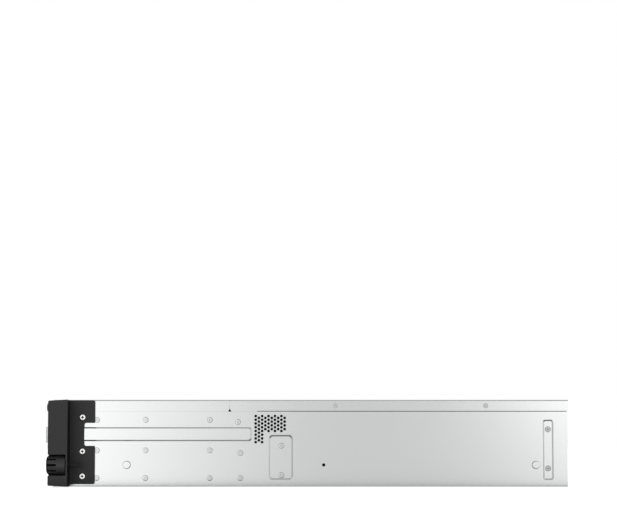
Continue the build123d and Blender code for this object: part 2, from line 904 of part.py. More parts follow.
def rear_panel():
    """The rear panel: air slots, expansion slots, a notch for the connectors and two side flanges."""
    left = supply_divider + supply_wall
    low, high = sheet, ceiling - cover_fit
    outline = Pos((left + frame_half) / 2, (low + high) / 2) * Rectangle(frame_half - left, high - low)
    (start, end), top = port_plate_span()
    width = end - start + 2 * port_plate_fit
    outline -= Pos((start + end) / 2, port_plate_fit) * Rectangle(width, 2 * top)
    slot_height = slot_cover_height - 2 * slot_end_margin
    slot_middle = slot_cover_low + slot_cover_height / 2
    holes = [Pos(x, slot_middle) * Rectangle(slot_opening_width, slot_height) for x in slot_places()]
    for column in range(rear_vent_columns):
        x = rear_vent_left + column * rear_vent_pitch
        holes.append(Pos(x, rear_vent_low + rear_vent_height / 2) * Rectangle(rear_vent_width, rear_vent_height))
    panel = deep(outline - (Sketch() + holes), panel_front, chassis_depth)
    panel += block((frame_half - sheet, frame_half), (rear_pad_start, panel_front), (rear_pad_low, rear_pad_low + rear_pad_height))
    return panel + block((left, left + sheet), (panel_front - panel_flange, panel_front), (board_top, supply_cage_top))


def port_plate_span():
    """The connector plate's X from end to end, and its top."""
    start = usb_x - usb_width / 2 - port_margin
    end = port_places(fibre_x, fibre_pitch)[-1] + fibre_width / 2 + port_margin
    return (start, end), board_top + network_height + port_margin


def port_plate():
    """The plate round the connectors, standing on the floor in the panel's notch."""
    (start, end), top = port_plate_span()
    ports = (
        (usb_x, usb_pitch, usb_width, usb_height),
        (network_x, network_pitch, network_width, network_height),
        (fibre_x, fibre_pitch, fibre_width, fibre_height),
    )
    holes = []
    for first, pitch, width, height in ports:
        hole = Rectangle(width + 2 * port_fit, height + 2 * port_fit)
        holes += [Pos(x, board_top + height / 2) * hole for x in port_places(first, pitch)]
    outline = Pos((start + end) / 2, (sheet + top) / 2) * Rectangle(end - start, top - sheet)
    return deep(outline - (Sketch() + holes), panel_front, chassis_depth)


def slot_covers():
    """Blank covers behind the expansion slots, each with a tab bent forward at its top."""
    half = slot_cover_width / 2
    top = slot_cover_low + slot_cover_height
    cover_plate = block((-half, half), (panel_front - slot_cover_thick, panel_front), (slot_cover_low, top))
    cover_plate += block((-half, half), (panel_front - slot_cover_tab, panel_front), (top - slot_cover_thick, top))
    return Part() + [Pos(x, 0, 0) * cover_plate for x in slot_places()]


def supply_cage():
    """The power supplies' bay: an outer wall, a shelf between the two and a partition."""
    depth = (power_board_start, chassis_depth)
    outer = block((-frame_half, -frame_half + supply_wall), (power_board_start, panel_front), (sheet, supply_cage_top))
    shelf = block((-frame_half + supply_wall, supply_divider), (supply_front, panel_front), (supply_shelf, supply_shelf + supply_wall))
    return outer + shelf + block((supply_divider, supply_divider + supply_wall), depth, (sheet, supply_cage_top))


def tongue_level(low):
    """The height at which a supply's contact tongue meets its socket."""
    return low + supply_height / 2


def power_board():
    """The upright board in front of the supplies, with a socket for each one's tongue."""
    left = -frame_half + supply_wall + supply_board_fit
    right = supply_divider - supply_board_fit
    start = power_board_start
    board = block((left, right), (start, start + supply_board_thick), (sheet + supply_board_fit, supply_cage_top))
    half = supply_socket_width / 2
    for low in supply_levels:
        level = tongue_level(low)
        board += block(
            (supply_centre - half, supply_centre + half),
            (start + supply_board_thick, supply_front - supply_board_fit),
            (level - supply_socket_height / 2, level + supply_socket_height / 2),
        )
        wide = supply_tongue_width / 2 + supply_tongue_fit
        high = supply_tongue_height / 2 + supply_tongue_fit
        board -= block(
            (supply_centre - wide, supply_centre + wide),
            (supply_front - supply_tongue_length - supply_tongue_fit, supply_front),
            (level - high, level + high),
        )
    return board


def latch_block(low, grow):
    """The space of a supply's latch at rest, larger all round by grow, without its lip."""
    x = supply_centre + latch_offset
    level = tongue_level(low)
    return block(
        (x - latch_width / 2 - grow, x + latch_width / 2 + grow),
        (supply_rear - latch_depth - grow, supply_rear + latch_reach),
        (level - latch_height / 2 - grow, level + latch_height / 2 + grow),
    )


def supply(low):
    """A power supply: case, mains inlet, pull handle, air slots, contact tongue and latch slot."""
    level = tongue_level(low)
    case = block((supply_left, supply_left + supply_width), (supply_front, supply_rear), (low, low + supply_height))
    case = chamfer(case.edges().filter_by(Axis.Y), supply_edge)
    inlet = Rectangle(inlet_width, inlet_height)
    inlet = chamfer(inlet.vertices().group_by(Axis.Y)[-1], inlet_corner)
    holes = Pos(supply_centre + inlet_offset, level) * inlet
    case -= deep(holes, supply_rear - inlet_depth, supply_rear + cut_spare)
    slots = Sketch()
    for n in range(grille_count):
        z = level + (n - (grille_count - 1) / 2) * grille_pitch
        slots += Pos(supply_centre + grille_offset, z) * Rectangle(grille_width, grille_slot)
    case -= deep(slots, supply_rear - grille_depth, supply_rear + cut_spare)
    rest = latch_block(low, latch_gap)
    case -= rest + Pos(-latch_travel, 0, 0) * rest
    loop = RectangleRounded(2 * handle_reach, handle_height, handle_corner)
    loop -= Rectangle(2 * (handle_reach - handle_bar), handle_height - 2 * handle_bar)
    loop = Pos(supply_rear, level) * loop & Pos(supply_rear + handle_reach, level) * Rectangle(2 * handle_reach, handle_height)
    x = supply_centre + handle_offset
    case += sideways(loop, x - handle_width / 2, x + handle_width / 2)
    wide, high = supply_tongue_width / 2, supply_tongue_height / 2
    return case + block(
        (supply_centre - wide, supply_centre + wide),
        (supply_front - supply_tongue_length, supply_front),
        (level - high, level + high),
    )


def supply_latch(low):
    """A supply's sliding latch, with a lip at its end for the thumb."""
    x = supply_centre + latch_offset + latch_width / 2
    level = tongue_level(low)
    end = supply_rear + latch_reach
    lip = block((x, x + latch_lip), (end - latch_lip_depth, end), (level - latch_height / 2, level + latch_height / 2))
    return latch_block(low, 0) + lip


tray = tray_frame()
tray_drive = drive()
lever = tray_lever()
bracket = rack_bracket()
knob = rack_knob()
fan = fan_frame()
fan_impeller = impeller()

parts = {
    "chassis_tub": chassis_tub(),
    "front_cover": front_cover(),
    "rear_lid": rear_lid(),
    "drive_cage": drive_cage(),
    "rail_studs": rail_studs(),
    "right_ear": right_ear(),
    "left_ear": mirror(ear_housing(), about=Plane.YZ),
    "right_bracket": bracket,
    "left_bracket": mirror(bracket, about=Plane.YZ),
    "ear_plate": ear_plate(),
    "status_lamps": status_lamps(),
    "backplane": backplane(),
    "fan_wall": fan_wall(),
    "fan_frames": Part() + [Pos(x, 0, 0) * fan for x in fan_places()],
    "board_posts": board_posts(),
    "main_board": main_board(),
    "heatsink": heatsink(),
    "memory_modules": memory_modules(),
    "rear_panel": rear_panel(),
    "port_plate": port_plate(),
    "usb_ports": port_shells(usb_x, usb_pitch, usb_width, usb_height, usb_depth),
    "network_ports": port_shells(network_x, network_pitch, network_width, network_height, network_depth),
    "fibre_ports": port_shells(fibre_x, fibre_pitch, fibre_width, fibre_height, fibre_depth),
    "slot_covers": slot_covers(),
    "supply_cage": supply_cage(),
    "power_board": power_board(),
    "power_button": power_button(),
    "right_thumbscrew": knob,
    "left_thumbscrew": mirror(knob, about=Plane.YZ),
}
for n, x in enumerate(fan_places(), 1):
    parts[f"impeller_{n}"] = Pos(x, 0, 0) * fan_impeller
for n, low in enumerate(supply_levels, 1):
    parts[f"supply_{n}"] = supply(low)
    parts[f"supply_{n}_latch"] = supply_latch(low)
for column in range(bay_columns):
    for row in range(bay_rows):
        number = column * bay_rows + row + 1
        x, z = bay_corner(column, row)
        parts[f"tray_{number:02d}"] = Pos(x, 0, z) * (tray + tray_drive)
        parts[f"lever_{number:02d}"] = Pos(x, 0, z) * lever

os.makedirs("parts", exist_ok=True)
for name, solid in parts.items():
    export_step(solid, f"parts/{name}.step")
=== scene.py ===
import bpy
import bmesh
import math
from mathutils import Matrix, Vector


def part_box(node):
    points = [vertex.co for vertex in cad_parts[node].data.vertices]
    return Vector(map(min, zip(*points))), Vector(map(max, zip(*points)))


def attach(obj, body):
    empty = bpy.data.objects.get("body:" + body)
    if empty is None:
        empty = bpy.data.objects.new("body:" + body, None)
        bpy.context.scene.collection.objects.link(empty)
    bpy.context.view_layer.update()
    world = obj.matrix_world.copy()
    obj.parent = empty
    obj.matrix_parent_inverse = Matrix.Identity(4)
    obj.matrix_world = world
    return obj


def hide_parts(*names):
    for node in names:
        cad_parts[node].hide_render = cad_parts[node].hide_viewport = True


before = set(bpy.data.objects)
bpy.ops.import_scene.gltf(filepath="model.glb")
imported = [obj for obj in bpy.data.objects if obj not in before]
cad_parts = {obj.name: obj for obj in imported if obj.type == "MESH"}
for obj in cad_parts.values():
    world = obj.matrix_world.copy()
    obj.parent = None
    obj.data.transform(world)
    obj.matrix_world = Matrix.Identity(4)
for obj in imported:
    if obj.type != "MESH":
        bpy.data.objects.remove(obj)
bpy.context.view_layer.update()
mm = 0.001
print("frame loaded:", len(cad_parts), "nodes")


viewpoint = {
    "wall": 0.216,         # the near side wall
    "distance": 2.15,      # from that wall to the lens
    "along": 0.2412,       # how far along the server it stands
    "height": 0.044,
    "lens": 123.47,
    "sensor": 36,
    "pitch": 4.816,        # degrees up: the photograph holds the server low in its frame
    "nearest": 0.05,
    "farthest": 60,
}


def setCamera():
    data = bpy.data.cameras.new("photoCamera")
    data.lens = viewpoint["lens"]
    data.sensor_width = viewpoint["sensor"]
    data.clip_start = viewpoint["nearest"]
    data.clip_end = viewpoint["farthest"]
    camera = bpy.data.objects.new("photoCamera", data)
    away = viewpoint["wall"] + viewpoint["distance"]
    camera.location = (away, viewpoint["along"], viewpoint["height"])
    camera.rotation_euler = (math.radians(90 + viewpoint["pitch"]), 0, math.radians(90))
    bpy.context.scene.collection.objects.link(camera)
    bpy.context.scene.camera = camera


class Wire:
    def __init__(self, socket, tree):
        self.socket = socket
        self.tree = tree

    def math(self, operation, first, second):
        node = self.tree.nodes.new("ShaderNodeMath")
        node.operation = operation
        for place, value in enumerate((first, second)):
            if isinstance(value, Wire):
                self.tree.links.new(value.socket, node.inputs[place])
            elif value is not None:
                node.inputs[place].default_value = value
        return Wire(node.outputs[0], self.tree)

    def __add__(self, other):
        return self.math("ADD", self, other)

    def __radd__(self, other):
        return self.math("ADD", other, self)

    def __sub__(self, other):
        return self.math("SUBTRACT", self, other)

    def __rsub__(self, other):
        return self.math("SUBTRACT", other, self)

    def __mul__(self, other):
        return self.math("MULTIPLY", self, other)

    def larger(self, other):
        return self.math("MAXIMUM", self, other)

    def smaller(self, other):
        return self.math("MINIMUM", self, other)


class NodeKit:
    def __init__(self, tree):
        self.tree = tree

    def make(self, kind, settings=None, inputs=None, output=0):
        node = self.tree.nodes.new(kind)
        for key, value in (settings or {}).items():
            setattr(node, key, value)
        for key, value in (inputs or {}).items():
            if isinstance(value, Wire):
                self.tree.links.new(value.socket, node.inputs[key])
            elif isinstance(value, tuple) and len(value) < len(node.inputs[key].default_value):
                node.inputs[key].default_value = (*value, 1)
            else:
                node.inputs[key].default_value = value
        return Wire(node.outputs[output], self.tree)

    def blend(self, mask, first, second):
        # the node's sockets by number: its factor, its two colours and its colour result
        return self.make("ShaderNodeMix", {"data_type": "RGBA"}, {0: mask, 6: first, 7: second}, 2)

    def feed(self, wire, node, socket):
        self.tree.links.new(wire.socket, node.inputs[socket])


backdrop = {
    "white": (1.0, 1.0, 1.0),
    "ambient": 0.62,       # what matt surfaces receive from all round
    "floorColour": (0.8, 0.8, 0.8),
    "floorSize": 30,
    "floorHeight": -0.0004,
    "floorGlow": 0.7,      # as the lens sees it
}


def setWorld():
    world = bpy.data.worlds.new("studio")
    bpy.context.scene.world = world
    world.use_nodes = True
    kit = NodeKit(world.node_tree)
    kit.tree.nodes.clear()
    seen = seenDirectly(kit)
    white = backdrop["white"]
    dim = kit.make("ShaderNodeBackground", None, {"Color": white, "Strength": backdrop["ambient"]})
    bright = kit.make("ShaderNodeBackground", None, {"Color": white, "Strength": 1.0})
    mixed = kit.make("ShaderNodeMixShader", None, {0: seen, 1: dim, 2: bright})
    out = kit.tree.nodes.new("ShaderNodeOutputWorld")
    kit.feed(mixed, out, "Surface")


def seenDirectly(kit):
    camera = kit.make("ShaderNodeLightPath", None, None, "Is Camera Ray")
    paths = camera.socket.node
    glossy = Wire(paths.outputs["Is Glossy Ray"], kit.tree)
    through = Wire(paths.outputs["Is Transmission Ray"], kit.tree)
    return camera.larger(glossy).larger(through)


def setFloor():
    deselectAll()
    place = (0, 0, backdrop["floorHeight"])
    bpy.ops.mesh.primitive_plane_add(size=backdrop["floorSize"], location=place)
    floor = bpy.context.object
    floor.name = "floor"
    material = bpy.data.materials.new("paleFloor")
    material.use_nodes = True
    kit = NodeKit(material.node_tree)
    kit.tree.nodes.clear()
    matt = kit.make("ShaderNodeBsdfDiffuse", None, {"Color": backdrop["floorColour"]})
    strength = seenDirectly(kit) * backdrop["floorGlow"]
    glow = kit.make("ShaderNodeEmission", None, {"Color": backdrop["white"], "Strength": strength})
    lit = kit.make("ShaderNodeAddShader", None, {0: matt, 1: glow})
    out = kit.tree.nodes.new("ShaderNodeOutputMaterial")
    kit.feed(lit, out, "Surface")
    floor.data.materials.append(material)
    floor.visible_glossy = False    # the cards below stand in for it


lamps = {
    "frontPanel": {
        "place": (2.35, -1.0, 0.45), "aim": (0.2, 0.1, 0.1), "size": 1.0, "tall": 0.9,
        "power": 5.0,
    },
    "rearPanel": {
        "place": (2.35, 1.55, 0.6), "aim": (0.2, 0.4, 0.1), "size": 1.0, "tall": 0.9,
        "power": 8.5,
    },
    "sidePanel": {
        "place": (0.45, 2.3, 0.3), "aim": (0.3, 0.4, 0.1), "size": 1.2, "tall": 0.9,
        "power": 4.5,
    },
    "topPanel": {
        "place": (0.2, 0.2, 2.2), "aim": (0.0, 0.2, 0.0), "size": 1.6, "tall": 1.6,
        "power": 7.0,
    },
}

flags = {      # grey cards out of the picture, there to be mirrored in the sheet metal
    "topFlag": {
        "place": (1.3, 0.24, 1.9), "turn": (0, 0, 0), "wide": 2.6, "tall": 3.6,
        "grey": 0.66,
    },
    "frontFlag": {
        "place": (0.9, -2.2, 0.7), "turn": (90, 0, 0), "wide": 1.8, "tall": 1.4,
        "grey": 0.72,
    },
    # a dark card on the floor by the server: painted shadow of the floor there, mirrored only in
    # the sheet metal
    "floorMat": {
        "place": (0.245, 0.24, 0.0001), "turn": (0, 0, 0), "wide": 0.05, "tall": 1.6,
        "grey": 0.34,
    },
}

litWall = {    # a wall behind the lens, brighter towards both ends, that only metal mirrors
    "place": (2.6, 0.3, 0.0),
    "turn": (0, -90, 0),
    "wide": 5.0,
    "tall": 1.2,           # half of it below the floor, which metal doesn't mirror
    "base": 0.98,
    "most": 2.6,
    "front": {"from": 0.22, "rise": 1.85, "lift": 0.8},
    "rear": {"from": 0.57, "rise": 2.35, "lift": 7.2},
    "lowest": -0.1,
    "highest": 0.3,
}


def setLamps():
    for name, lamp in lamps.items():
        data = bpy.data.lights.new(name, "AREA")
        data.shape = "RECTANGLE"
        data.size = lamp["size"]
        data.size_y = lamp["tall"]
        data.energy = lamp["power"]
        panel = bpy.data.objects.new(name, data)
        panel.location = lamp["place"]
        sight = Vector(lamp["aim"]) - Vector(lamp["place"])
        panel.rotation_euler = sight.to_track_quat("-Z", "Y").to_euler()
        panel.visible_glossy = False    # the cards give the metal what it mirrors
        bpy.context.scene.collection.objects.link(panel)


def makeCard(name, place, turn, wide, tall):
    deselectAll()
    rotation = [math.radians(angle) for angle in turn]
    bpy.ops.mesh.primitive_plane_add(size=1, location=place, rotation=rotation)
    card = bpy.context.object
    card.name = name
    card.scale = (wide, tall, 1)
    bpy.ops.object.transform_apply(location=True, rotation=True, scale=True)
    material = bpy.data.materials.new(name)
    material.use_nodes = True
    material.cycles.emission_sampling = "NONE"
    card.data.materials.append(material)
    card.visible_camera = False
    card.visible_diffuse = False
    card.visible_transmission = False
    card.visible_shadow = False
    kit = NodeKit(material.node_tree)
    kit.tree.nodes.clear()
    return kit


def lightCard(kit, colour, strength):
    light = kit.make("ShaderNodeEmission", None, {"Color": colour, "Strength": strength})
    out = kit.tree.nodes.new("ShaderNodeOutputMaterial")
    kit.feed(light, out, "Surface")


def setCards():
    for name, flag in flags.items():
        kit = makeCard(name, flag["place"], flag["turn"], flag["wide"], flag["tall"])
        lightCard(kit, backdrop["white"], flag["grey"])
    kit = makeCard("litWall", litWall["place"], litWall["turn"], litWall["tall"], litWall["wide"])
    place = kit.make("ShaderNodeTexCoord", None, None, "Object")
    along = kit.make("ShaderNodeSeparateXYZ", None, {"Vector": place}, "Y")
    height = Wire(along.socket.node.outputs["Z"], kit.tree)
    height = height.larger(litWall["lowest"]).smaller(litWall["highest"])
    front, rear = litWall["front"], litWall["rear"]
    frontGlow = (front["from"] - along).larger(0.0) * front["rise"]
    frontGlow = frontGlow * (1.0 + height * front["lift"])
    rearGlow = (along - rear["from"]).larger(0.0) * rear["rise"]
    rearGlow = rearGlow * (1.0 + height * rear["lift"])
    share = ((litWall["base"] + frontGlow + rearGlow) * (1 / litWall["most"])).smaller(1.0)
    lightCard(kit, kit.blend(share, (0, 0, 0), backdrop["white"]), litWall["most"])


looks = {}

texture = {
    "rolled": (1.0, 0.25, 1.0),    # sheet metal is drawn out along its length
    "detail": 2.0,
    "metalClouds": 9.0,
    "solidClouds": 25.0,
    "metalShare": 0.5,             # how much of the blend the clouds decide
    "solidShare": 0.6,
    "relief": 0.0002,
    "metalSpread": 0.05,           # how far grain and clouds vary the roughness
    "grainSpread": 0.1,
    "cloudSpread": 0.06,
}

metals = {
    "galvanisedSheet": {
        "colour": (0.534, 0.547, 0.541), "shade": (0.527, 0.54, 0.534), "rough": 0.2,
        "grain": 2400, "bump": 0.01,
    },
    "innerSheet": {
        "colour": (0.5, 0.51, 0.5), "shade": (0.46, 0.47, 0.46), "rough": 0.4,
        "grain": 380, "bump": 0.02,
    },
    "rivetSteel": {
        "colour": (0.515, 0.528, 0.52), "shade": (0.5, 0.515, 0.505), "rough": 0.22,
        "grain": 900, "bump": 0.05,
    },
    "zincScrew": {
        "colour": (0.72, 0.72, 0.71), "shade": (0.66, 0.66, 0.65), "rough": 0.3,
        "grain": 1500, "bump": 0.03,
    },
    "flatScrew": {
        "colour": (0.39, 0.403, 0.398), "shade": (0.37, 0.383, 0.378), "rough": 0.42,
        "grain": 1200, "bump": 0.04,
    },
    "trimPlate": {
        "colour": (0.42, 0.43, 0.43), "shade": (0.38, 0.39, 0.39), "rough": 0.36,
        "grain": 600, "bump": 0.03,
    },
    "portShell": {
        "colour": (0.7, 0.7, 0.69), "shade": (0.62, 0.62, 0.61), "rough": 0.28,
        "grain": 700, "bump": 0.02,
    },
    "finMetal": {
        "colour": (0.66, 0.67, 0.68), "shade": (0.6, 0.61, 0.62), "rough": 0.3,
        "grain": 500, "bump": 0.02,
    },
    "caseSheet": {
        "colour": (0.56, 0.57, 0.57), "shade": (0.52, 0.53, 0.53), "rough": 0.36,
        "grain": 400, "bump": 0.02,
    },
    "driveCasting": {
        "colour": (0.42, 0.43, 0.44), "shade": (0.36, 0.37, 0.38), "rough": 0.42,
        "grain": 350, "bump": 0.05,
    },
    "goldContact": {
        "colour": (0.75, 0.53, 0.2), "shade": (0.68, 0.47, 0.17), "rough": 0.25,
        "grain": 900, "bump": 0.01,
    },
}

solids = {
    "earPlastic": {
        "colour": (0.0185, 0.0185, 0.0185), "shade": (0.0155, 0.0155, 0.0155),
        "rough": 0.52, "shine": 0.3, "grain": 1900, "bump": 0.09,
    },
    "bracketPaint": {
        "colour": (0.0165, 0.0165, 0.0165), "shade": (0.0145, 0.0145, 0.0145),
        "rough": 0.5, "shine": 0.3, "grain": 1300, "bump": 0.06,
    },
    "knobPlastic": {
        "colour": (0.023, 0.023, 0.023), "shade": (0.019, 0.019, 0.019), "rough": 0.46,
        "shine": 0.35, "grain": 1700, "bump": 0.07,
    },
    "buttonPlastic": {
        "colour": (0.008, 0.008, 0.008), "shade": (0.006, 0.006, 0.006), "rough": 0.3,
        "shine": 0.4, "grain": 1500, "bump": 0.02,
    },
    "trayPaint": {
        "colour": (0.028, 0.028, 0.029), "shade": (0.022, 0.022, 0.023), "rough": 0.48,
        "shine": 0.35, "grain": 1400, "bump": 0.06,
    },
    "leverPlastic": {
        "colour": (0.045, 0.045, 0.047), "shade": (0.038, 0.038, 0.04), "rough": 0.42,
        "shine": 0.35, "grain": 1800, "bump": 0.06,
    },
    "fanPlastic": {
        "colour": (0.012, 0.012, 0.012), "shade": (0.009, 0.009, 0.009), "rough": 0.5,
        "shine": 0.35, "grain": 1500, "bump": 0.05,
    },
    "boardGreen": {
        "colour": (0.012, 0.075, 0.035), "shade": (0.02, 0.11, 0.05), "rough": 0.4,
        "shine": 0.5, "grain": 160, "bump": 0.05,
    },
    "moduleGreen": {
        "colour": (0.01, 0.06, 0.035), "shade": (0.015, 0.085, 0.045), "rough": 0.4,
        "shine": 0.5, "grain": 240, "bump": 0.04,
    },
    "latchGreen": {
        "colour": (0.03, 0.17, 0.07), "shade": (0.025, 0.14, 0.06), "rough": 0.38,
        "shine": 0.4, "grain": 1500, "bump": 0.04,
    },
    "lampClear": {
        "colour": (0.62, 0.68, 0.64), "shade": (0.55, 0.62, 0.58), "rough": 0.2,
        "shine": 0.5, "grain": 800, "bump": 0.01,
    },
    "handlePlastic": {
        "colour": (0.02, 0.02, 0.021), "shade": (0.015, 0.015, 0.016), "rough": 0.45,
        "shine": 0.4, "grain": 1600, "bump": 0.05,
    },
    "jointShade": {
        "colour": (0.06, 0.062, 0.061), "shade": (0.045, 0.046, 0.046), "rough": 0.7,
        "shine": 0.15, "grain": 1500, "bump": 0.02,
    },
    # near-black, painted shade for holes and gaps that show dark
    "gasketFoam": {
        "colour": (0.007, 0.007, 0.007), "shade": (0.005, 0.005, 0.005), "rough": 0.85,
        "shine": 0.1, "grain": 1800, "bump": 0.12,
    },
    "gripShade": {
        "colour": (0.003, 0.003, 0.003), "shade": (0.002, 0.002, 0.002), "rough": 0.7,
        "shine": 0.08, "grain": 1700, "bump": 0.07,
    },
    # dark grey, painted shade for the lid's seam gap
    "lidFoam": {
        "colour": (0.13, 0.133, 0.132), "shade": (0.1, 0.102, 0.101), "rough": 0.85,
        "shine": 0.1, "grain": 1800, "bump": 0.12,
    },
    "blackScrew": {
        "colour": (0.0165, 0.0165, 0.0165), "shade": (0.014, 0.014, 0.014), "rough": 0.62,
        "shine": 0.15, "grain": 1500, "bump": 0.04,
    },
    "socketBlack": {
        "colour": (0.01, 0.01, 0.01), "shade": (0.008, 0.008, 0.008), "rough": 0.45,
        "shine": 0.35, "grain": 1500, "bump": 0.04,
    },
}


def noise(kit, place, scale):
    inputs = {"Vector": place, "Scale": scale, "Detail": texture["detail"]}
    return kit.make("ShaderNodeTexNoise", None, inputs)


def weather(kit, shader, look, grain, clouds, share):
    mask = clouds * share + grain * (1 - share)
    kit.feed(kit.blend(mask, look["colour"], look["shade"]), shader, "Base Color")
    inputs = {"Strength": look["bump"], "Distance": texture["relief"], "Height": grain}
    kit.feed(kit.make("ShaderNodeBump", None, inputs), shader, "Normal")


def metalFinish(name, look):
    material = bpy.data.materials.new(name)
    material.use_nodes = True
    kit = NodeKit(material.node_tree)
    shader = kit.tree.nodes["Principled BSDF"]
    shader.inputs["Metallic"].default_value = 1.0
    place = kit.make("ShaderNodeTexCoord", None, None, "Object")
    drawn = kit.make("ShaderNodeMapping", None, {"Vector": place, "Scale": texture["rolled"]})
    grain = noise(kit, drawn, look["grain"])
    clouds = noise(kit, place, texture["metalClouds"])
    weather(kit, shader, look, grain, clouds, texture["metalShare"])
    spread = texture["metalSpread"]
    kit.feed(look["rough"] + (grain - 0.5) * spread + (clouds - 0.5) * spread, shader, "Roughness")
    looks[name] = material


def solidFinish(name, look):
    material = bpy.data.materials.new(name)
    material.use_nodes = True
    kit = NodeKit(material.node_tree)
    shader = kit.tree.nodes["Principled BSDF"]
    shader.inputs["Specular IOR Level"].default_value = look["shine"]
    place = kit.make("ShaderNodeTexCoord", None, None, "Object")
    grain = noise(kit, place, look["grain"])
    clouds = noise(kit, place, texture["solidClouds"])
    weather(kit, shader, look, grain, clouds, texture["solidShare"])
    varied = look["rough"] + (grain - 0.5) * texture["grainSpread"]
    kit.feed(varied + (clouds - 0.5) * texture["cloudSpread"], shader, "Roughness")
    looks[name] = material


cleaning = {
    "weld": 0.000002,
    "flat": math.radians(0.5),
    "normalWeight": 90,
    "sharpBend": math.radians(60),
}


def deselectAll():
    if bpy.context.object and bpy.context.object.mode != "OBJECT":
        bpy.ops.object.mode_set(mode="OBJECT")
    bpy.ops.object.select_all(action="DESELECT")


def workOn(piece):
    deselectAll()
    piece.select_set(True)
    bpy.context.view_layer.objects.active = piece


def pickFaces(test):
    bpy.ops.mesh.select_mode(type="FACE")
    bpy.ops.mesh.select_all(action="DESELECT")
    shape = bmesh.from_edit_mesh(bpy.context.object.data)
    for face in shape.faces:
        face.select_set(test(face.calc_center_median(), face.normal))
    bmesh.update_edit_mesh(bpy.context.object.data)


def pickEdges(test):
    bpy.ops.mesh.select_mode(type="EDGE")
    bpy.ops.mesh.select_all(action="DESELECT")
    shape = bmesh.from_edit_mesh(bpy.context.object.data)
    for edge in shape.edges:
        middle = (edge.verts[0].co + edge.verts[1].co) / 2
        bend = edge.calc_face_angle(0)
        edge.select_set(test(middle, bend))
    bmesh.update_edit_mesh(bpy.context.object.data)


def pickCorners(test):
    bpy.ops.mesh.select_mode(type="VERT")
    bpy.ops.mesh.select_all(action="DESELECT")
    shape = bmesh.from_edit_mesh(bpy.context.object.data)
    for corner in shape.verts:
        corner.select_set(test(corner.co))
    bmesh.update_edit_mesh(bpy.context.object.data)


def creaseEdges(piece, limit):
    workOn(piece)
    bpy.ops.object.mode_set(mode="EDIT")
    bpy.ops.mesh.select_mode(type="EDGE")
    bpy.ops.mesh.select_all(action="DESELECT")
    shape = bmesh.from_edit_mesh(piece.data)
    for edge in shape.edges:
        normals = [face.normal for face in edge.link_faces]
        bends = [first.angle(second, 0) for first in normals for second in normals]
        widest = max(bends, default=0)
        edge.select_set(len(normals) != 2 or widest > math.radians(limit))
    bmesh.update_edit_mesh(piece.data)
    bpy.ops.mesh.mark_sharp()
    bpy.ops.object.mode_set(mode="OBJECT")


def addModifier(piece, kind, **values):
    workOn(piece)
    modifier = piece.modifiers.new(kind.title(), kind)
    for key, value in values.items():
        setattr(modifier, key, value)
    bpy.ops.object.modifier_apply(modifier=modifier.name)


def settle(piece, name, body, finish, replaced=(), crease=40):
    workOn(piece)
    bpy.ops.object.transform_apply(location=True, rotation=True, scale=True)
    bpy.ops.object.shade_smooth()
    creaseEdges(piece, crease)
    addModifier(piece, "WEIGHTED_NORMAL", keep_sharp=True, weight=cleaning["normalWeight"])
    piece.name = name
    piece.data.name = name
    if finish:
        wear(piece, finish)
    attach(piece, body)
    if replaced:
        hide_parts(*replaced)
    return piece


def wear(piece, *finishes):
    piece.data.materials.clear()
    for finish in finishes:
        piece.data.materials.append(looks[finish])


def paintFaces(piece, slot, test):
    for face in piece.data.polygons:
        if test(face.center, face.normal):
            face.material_index = slot


def bar(low, high):
    deselectAll()
    middle = [(a + b) / 2 * mm for a, b in zip(low, high)]
    bpy.ops.mesh.primitive_cube_add(size=1, location=middle)
    piece = bpy.context.object
    piece.scale = [(b - a) * mm for a, b in zip(low, high)]
    bpy.ops.object.transform_apply(location=True, rotation=True, scale=True)
    return piece


def copyTo(piece, move, turn=None):
    other = bpy.data.objects.new(piece.name + "Copy", piece.data.copy())
    bpy.context.scene.collection.objects.link(other)
    other.data.transform(Matrix.Translation(Vector(move)) @ (turn or Matrix.Identity(4)))
    return other


def mirrored(piece):
    other = bpy.data.objects.new(piece.name + "Copy", piece.data.copy())
    bpy.context.scene.collection.objects.link(other)
    other.data.transform(Matrix.Scale(-1, 4, (1, 0, 0)))
    other.data.flip_normals()
    return other


def joined(pieces):
    deselectAll()
    for piece in pieces:
        piece.select_set(True)
    bpy.context.view_layer.objects.active = pieces[0]
    if len(pieces) > 1:
        bpy.ops.object.join()
    return bpy.context.object


def discard(piece):
    bpy.data.objects.remove(piece)


def mergedCopy(node):
    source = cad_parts[node]
    piece = bpy.data.objects.new(node + "Copy", source.data.copy())
    bpy.context.scene.collection.objects.link(piece)
    workOn(piece)
    bpy.ops.object.mode_set(mode="EDIT")
    bpy.ops.mesh.select_all(action="SELECT")
    bpy.ops.mesh.remove_doubles(threshold=cleaning["weld"])
    bpy.ops.mesh.dissolve_limited(angle_limit=cleaning["flat"])
    bpy.ops.object.mode_set(mode="OBJECT")
    return piece


def soften(piece, width, segments=2, limit=35):
    addModifier(
        piece, "BEVEL", width=width, segments=segments,
        limit_method="ANGLE", angle_limit=math.radians(limit), use_clamp_overlap=False,
    )


faceFront = (math.radians(90), 0, 0)
squareOn = 0.9         # a normal's share along the axis that a face is square to
rimFrom = 0.9          # a screw's rim lies past this share of its height
screwSides = 48
recessTaper = (1, 0.5, 0.6)    # a recess narrows towards its floor


def disc(radius, depth, vertices, centre=(0, 0, 0), turn=(0, math.radians(90), 0)):
    deselectAll()
    bpy.ops.mesh.primitive_cylinder_add(
        vertices=vertices, radius=radius, depth=depth, location=centre, rotation=turn,
    )
    bpy.ops.object.transform_apply(location=True, rotation=True)
    return bpy.context.object


def roundRim(test, width, segments):
    bpy.ops.object.mode_set(mode="EDIT")
    pickEdges(lambda middle, bend: bend > cleaning["sharpBend"] and test(middle))
    bpy.ops.mesh.bevel(offset=width, segments=segments, affect="EDGES")
    bpy.ops.object.mode_set(mode="OBJECT")


def settleBothSides(near, name, finish):
    far = mirrored(near)
    settle(near, name + "Right", "chassis", finish)
    settle(far, name + "Left", "chassis", finish)


